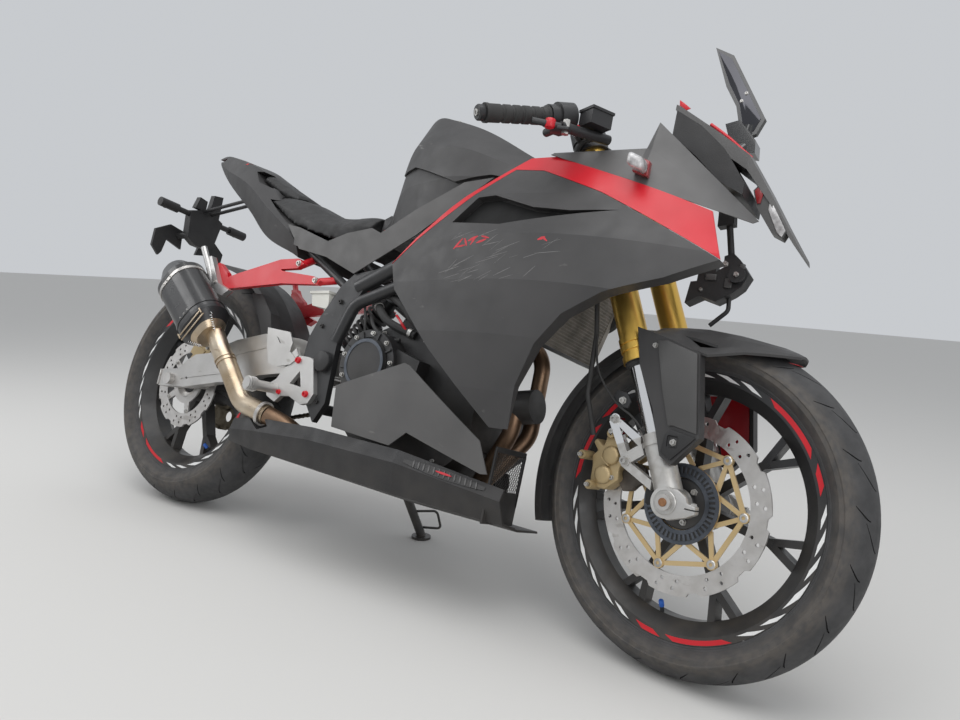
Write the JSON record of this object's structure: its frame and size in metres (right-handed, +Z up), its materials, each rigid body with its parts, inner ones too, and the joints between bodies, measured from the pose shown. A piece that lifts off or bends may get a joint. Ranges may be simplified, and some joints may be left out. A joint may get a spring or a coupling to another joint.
{
  "type": "motorcycle",
  "caption": "Faired sport motorcycle with a gold upside-down fork, red-banded black bodywork, damaged nose and a side stand.",
  "frame": {"origin": "centre of the bounding box at ground level", "axes": "+X forward, +Y to the machine's left, +Z up"},
  "size_m": [1.9878, 0.7118, 1.1562],
  "materials": {
    "front_tyre": "rough",
    "rear_tyre": "rough",
    "front_wheel": "satin black",
    "rear_wheel": "satin black",
    "front_brake_disc": "ground",
    "front_disc_carrier": "gold anodised",
    "rear_brake_disc": "ground",
    "front_axle": "plain",
    "fork_tube_right": "gold anodised",
    "fork_leg_right": "polished",
    "fork_tube_left": "gold anodised",
    "fork_leg_left": "polished",
    "steering_yokes": "satin black",
    "handlebar_right": "satin black",
    "handlebar_left": "satin black",
    "grip_right": "matte",
    "grip_left": "matte",
    "front_brake_cylinder": "satin",
    "front_fender": "matte",
    "front_brake_caliper": "gold painted",
    "front_brake_hose": "matte",
    "side_fairing_right": "matte",
    "fairing_band_right": "satin red",
    "upper_cowl_right": "matte",
    "nose_cowl": "matte",
    "position_lamp": "clear lens",
    "lamp_bracket": "matte",
    "hanging_switch_unit": "matte",
    "mirror_left": "gloss",
    "turn_signal_right": "clear lens",
    "clutch_cover": "black painted",
    "generator_cover": "black painted",
    "engine_block": "black painted",
    "main_frame": "satin black",
    "side_stand": "satin black",
    "fuel_tank": "matte",
    "tank_rear_cover": "matte",
    "rider_seat": "textured vinyl",
    "passenger_pad": "textured vinyl",
    "tail_cowl": "matte",
    "side_covers": "matte",
    "exhaust_header": "heat tinted",
    "radiator": "finned",
    "lower_panels": "matte",
    "belly_pan": "matte",
    "exhaust_mid_pipe": "heat tinted",
    "muffler": "satin",
    "swingarm": "satin",
    "rear_axle": "plain",
    "rear_hugger": "matte",
    "rear_brake_caliper": "painted",
    "rear_sprocket": "plain",
    "drive_chain": "oiled",
    "footrest_right": "cast",
    "footrest_left": "cast",
    "passenger_brackets": "gloss red",
    "rear_fluid_reservoir": "clear",
    "tail_tidy": "satin"
  },
  "bodies": {
    "chassis": {"side_fairing_right": "side_fairing_right", "fairing_band_right": "fairing_band_right", "upper_cowl_right": "upper_cowl_right", "nose_cowl": "nose_cowl", "position_lamp": "position_lamp", "lamp_bracket": "lamp_bracket", "hanging_switch_unit": "hanging_switch_unit", "mirror_left": "mirror_left", "turn_signal_right": "turn_signal_right", "clutch_cover": "clutch_cover", "generator_cover": "generator_cover", "engine_block": "engine_block", "main_frame": "main_frame", "fuel_tank": "fuel_tank", "tank_rear_cover": "tank_rear_cover", "rider_seat": "rider_seat", "passenger_pad": "passenger_pad", "tail_cowl": "tail_cowl", "side_covers": "side_covers", "exhaust_header": "exhaust_header", "radiator": "radiator", "lower_panels": "lower_panels", "belly_pan": "belly_pan", "exhaust_mid_pipe": "exhaust_mid_pipe", "muffler": "muffler", "swingarm": "swingarm", "rear_axle": "rear_axle", "rear_hugger": "rear_hugger", "rear_brake_caliper": "rear_brake_caliper", "drive_chain": "drive_chain", "footrest_right": "footrest_right", "footrest_left": "footrest_left", "passenger_brackets": "passenger_brackets", "rear_fluid_reservoir": "rear_fluid_reservoir", "tail_tidy": "tail_tidy"},
    "rear_wheel": {"rear_tyre": "rear_tyre", "rear_wheel": "rear_wheel", "rear_brake_disc": "rear_brake_disc", "rear_sprocket": "rear_sprocket"},
    "fork": {"front_axle": "front_axle", "fork_tube_right": "fork_tube_right", "fork_leg_right": "fork_leg_right", "fork_tube_left": "fork_tube_left", "fork_leg_left": "fork_leg_left", "steering_yokes": "steering_yokes", "handlebar_right": "handlebar_right", "handlebar_left": "handlebar_left", "grip_right": "grip_right", "grip_left": "grip_left", "front_brake_cylinder": "front_brake_cylinder", "front_fender": "front_fender", "front_brake_caliper": "front_brake_caliper", "front_brake_hose": "front_brake_hose"},
    "front_wheel": {"front_tyre": "front_tyre", "front_wheel": "front_wheel", "front_brake_disc": "front_brake_disc", "front_disc_carrier": "front_disc_carrier"},
    "side_stand": {"side_stand": "side_stand"}
  },
  "joints": [
    {"name": "rear_wheel_spin", "type": "hinge", "parent": "chassis", "child": "rear_wheel", "pos_m": [-0.68553, -0.14962, 0.30535], "axis": [0, 0.9662, -0.2578], "continuous": true},
    {"name": "steering", "type": "hinge", "parent": "chassis", "child": "fork", "pos_m": [0.43489, -0.02355, 0.77782], "axis": [-0.4147, 0.2346, 0.8792], "range_deg": [-17.1, 32.9]},
    {"name": "front_wheel_spin", "type": "hinge", "parent": "fork", "child": "front_wheel", "pos_m": [0.70417, -0.15899, 0.28887], "axis": [0.1251, 0.9717, -0.2003], "continuous": true},
    {"name": "side_stand_swing", "type": "hinge", "parent": "chassis", "child": "side_stand", "pos_m": [-0.09753, -0.05017, 0.19705], "axis": [0.0921, 0.9278, 0.3616], "range_deg": [0, 104.5]}
  ]
}
